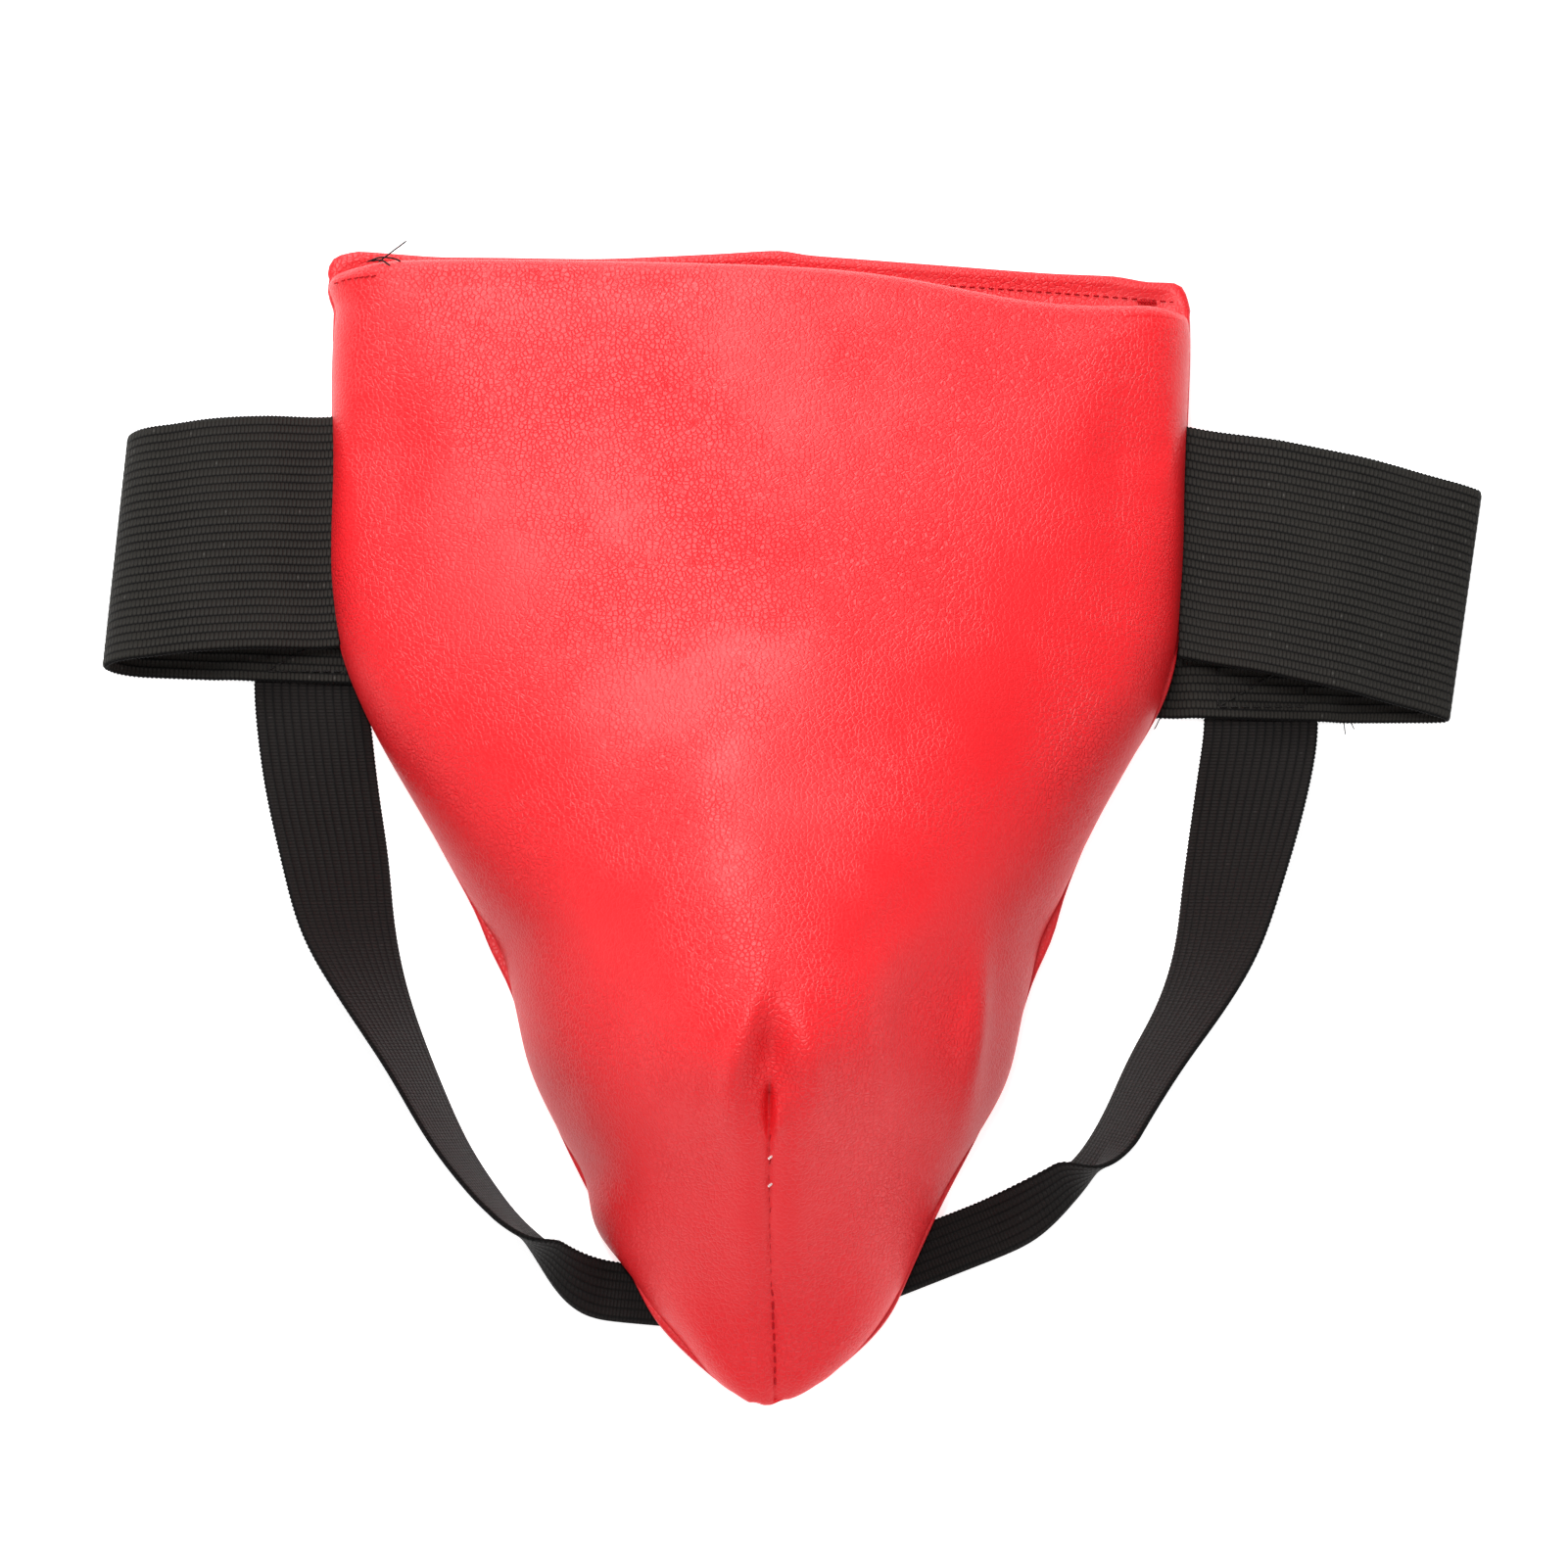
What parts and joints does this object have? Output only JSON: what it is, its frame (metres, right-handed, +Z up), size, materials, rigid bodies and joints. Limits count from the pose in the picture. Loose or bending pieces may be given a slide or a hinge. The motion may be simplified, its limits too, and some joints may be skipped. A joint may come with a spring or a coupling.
{
  "type": "groin protector",
  "caption": "Padded groin protector panel with a removable hard cup in its pocket, an elastic waist belt and two elastic leg straps, lying on its back.",
  "frame": {"origin": "on the table under the middle of the whole object's box, lying on its back with the front face up", "axes": "+X to the right seen from the front and along the belt, +Y towards the waist edge, +Z up out of the front face"},
  "size_m": [0.3488, 0.2928, 0.0747],
  "materials": {
    "red_leatherette": "soft satin grain",
    "foam": "matte foam",
    "lining_cloth": "matte knit",
    "cup_plastic": "satin moulded plastic",
    "cup_rubber": "matte rubber",
    "belt_elastic": "ribbed woven elastic",
    "strap_elastic": "ribbed woven elastic",
    "red_thread": "sewing thread",
    "black_thread": "sewing thread"
  },
  "bodies": {
    "panel": {"front_cover": "red_leatherette", "front_foam": "foam", "pocket_lining": "lining_cloth", "back_cover": "red_leatherette", "waist_belt": "belt_elastic", "left_strap_ends": "strap_elastic", "right_strap_ends": "strap_elastic", "centre_seam_stitching": "red_thread", "mouth_hem_stitching": "red_thread", "left_bartack": "red_thread", "right_bartack": "red_thread", "left_side_stitching": "red_thread", "right_side_stitching": "red_thread", "left_strap_stitching": "black_thread", "right_strap_stitching": "black_thread", "tip_stitching": "red_thread"},
    "cup": {"cup_shell": "cup_plastic", "cup_rim": "cup_rubber"},
    "left_strap": {"left_leg_strap": "strap_elastic"},
    "right_strap": {"right_leg_strap": "strap_elastic"}
  },
  "joints": [
    {"name": "cup_slide", "type": "slide", "parent": "panel", "child": "cup", "axis": [0, 1, 0], "range_m": [0, 0.28], "deforming": ["front_cover", "front_foam", "pocket_lining", "back_cover"]},
    {"name": "left_strap_swing", "type": "hinge", "parent": "panel", "child": "left_strap", "pos_m": [-0.107, 0.0326, 0.0007], "axis": [-0.3975, 0.9176, 0], "range_deg": [0, 45]},
    {"name": "right_strap_swing", "type": "hinge", "parent": "panel", "child": "right_strap", "pos_m": [0.1045, 0.0234, 0.0007], "axis": [-0.437, -0.8995, 0], "range_deg": [0, 45]}
  ]
}
